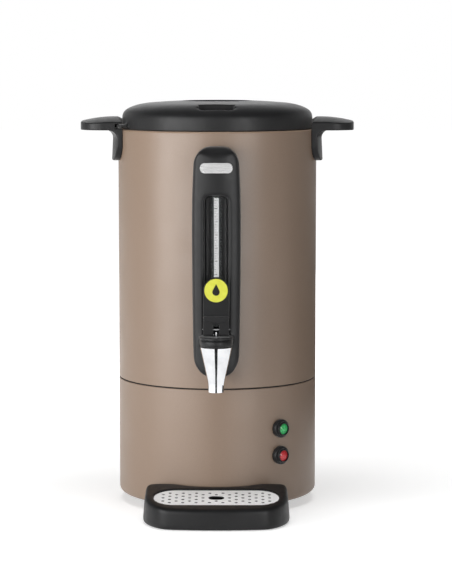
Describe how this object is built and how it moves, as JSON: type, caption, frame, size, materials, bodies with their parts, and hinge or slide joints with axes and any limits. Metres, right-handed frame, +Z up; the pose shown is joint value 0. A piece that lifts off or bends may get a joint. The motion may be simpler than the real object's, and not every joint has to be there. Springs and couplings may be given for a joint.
{
  "type": "coffee urn",
  "caption": "Tall taupe coffee urn with a black twist-lock lid, side handles, a sight-glass panel, a lever tap, pilot lamps and a drip tray under the spout.",
  "frame": {"origin": "on the axis of the casing, in the plane of the foot ring", "axes": "+Z up along the casing axis, -Y towards the tap, +X to the right when facing the tap"},
  "size_m": [0.3046, 0.315, 0.4497],
  "materials": {
    "taupe_paint": "satin baked paint, taupe",
    "black_plastic": "fine-grained black moulding",
    "stainless": "brushed stainless sheet",
    "satin_steel": "satin stainless plate",
    "chrome": "bright plated brass",
    "zinc": "zinc-plated steel hardware",
    "black_rubber": "dull black rubber",
    "silicone": "pale translucent silicone",
    "clear_tube": "clear drawn tube",
    "white_plastic": "white strip",
    "silver_plate": "satin silver plate, bare",
    "green_plastic": "clear green lens",
    "red_plastic": "clear red lens",
    "lime_badge": "lime yellow printed disc",
    "cast_aluminium": "as cast",
    "heater_sheath": "heat-tinted steel tube",
    "cream_plastic": "cream insulating moulding"
  },
  "bodies": {
    "urn": {"outer_shell": "taupe_paint", "base_housing": "taupe_paint", "base_cover": "black_plastic", "foot_ring": "black_rubber", "foot_screws": "zinc", "tie_rods": "zinc", "tie_nuts": "zinc", "inner_tank": "stainless", "heater_plate": "cast_aluminium", "heating_element": "heater_sheath", "thermostat": "black_plastic", "thermal_cutout": "black_plastic", "terminal_block": "cream_plastic", "cord_gland": "black_plastic", "gland_nut": "black_plastic", "left_handle": "black_plastic", "right_handle": "black_plastic", "handle_screws": "zinc", "front_panel": "black_plastic", "panel_screws": "zinc", "badge_plate": "silver_plate", "level_strip": "white_plastic", "sight_glass": "clear_tube", "glass_cap": "black_rubber", "glass_seal": "silicone", "gauge_shank": "chrome", "tank_nut": "chrome", "tank_washers": "silicone", "tap_body": "chrome", "tap_bonnet": "black_plastic", "valve_spring": "stainless", "lamp_bezels": "black_plastic", "green_lens": "green_plastic", "red_lens": "red_plastic", "lamp_nuts": "zinc", "pump_tube": "stainless", "pump_stop": "stainless", "pump_foot": "stainless", "filter_basket": "stainless", "basket_cover": "stainless"},
    "lid_ring": {"lid_seal": "silicone"},
    "lid": {"lid_shell": "black_plastic", "lid_liner": "stainless", "lid_screws": "zinc"},
    "stem": {"valve_stem": "chrome", "seat_cup": "silicone", "lever_pin": "chrome"},
    "lever": {"tap_lever": "black_plastic", "lever_badge": "lime_badge"},
    "tray": {"drip_tray": "black_plastic"},
    "grid": {"drip_grid": "satin_steel"}
  },
  "joints": [
    {"name": "lid_lift", "type": "slide", "parent": "urn", "child": "lid_ring", "axis": [0, 0, 1], "range_m": [0, 0.25]},
    {"name": "lid_turn", "type": "hinge", "parent": "lid_ring", "child": "lid", "pos_m": [0, 0, 0.418], "axis": [0, 0, 1], "range_deg": [-22, 0]},
    {"name": "stem_lift", "type": "slide", "parent": "urn", "child": "stem", "axis": [0, 0, 1], "range_m": [0, 0.003], "stiffness_N_per_m": 400, "springref_m": -0.004, "deforming": ["valve_spring"]},
    {"name": "lever_tilt", "type": "hinge", "parent": "stem", "child": "lever", "pos_m": [0, -0.15, 0.21], "axis": [1, 0, 0], "range_deg": [0, 36]},
    {"name": "tray_slide", "type": "slide", "parent": "urn", "child": "tray", "axis": [0, -1, 0], "range_m": [0, 0.09]},
    {"name": "grid_lift", "type": "slide", "parent": "tray", "child": "grid", "axis": [0, -0.1271, 0.9919], "range_m": [0, 0.04]}
  ],
  "couplings": [
    {"joint": "lever_tilt", "follows": "stem_lift", "rad_per_m": 203.62}
  ]
}
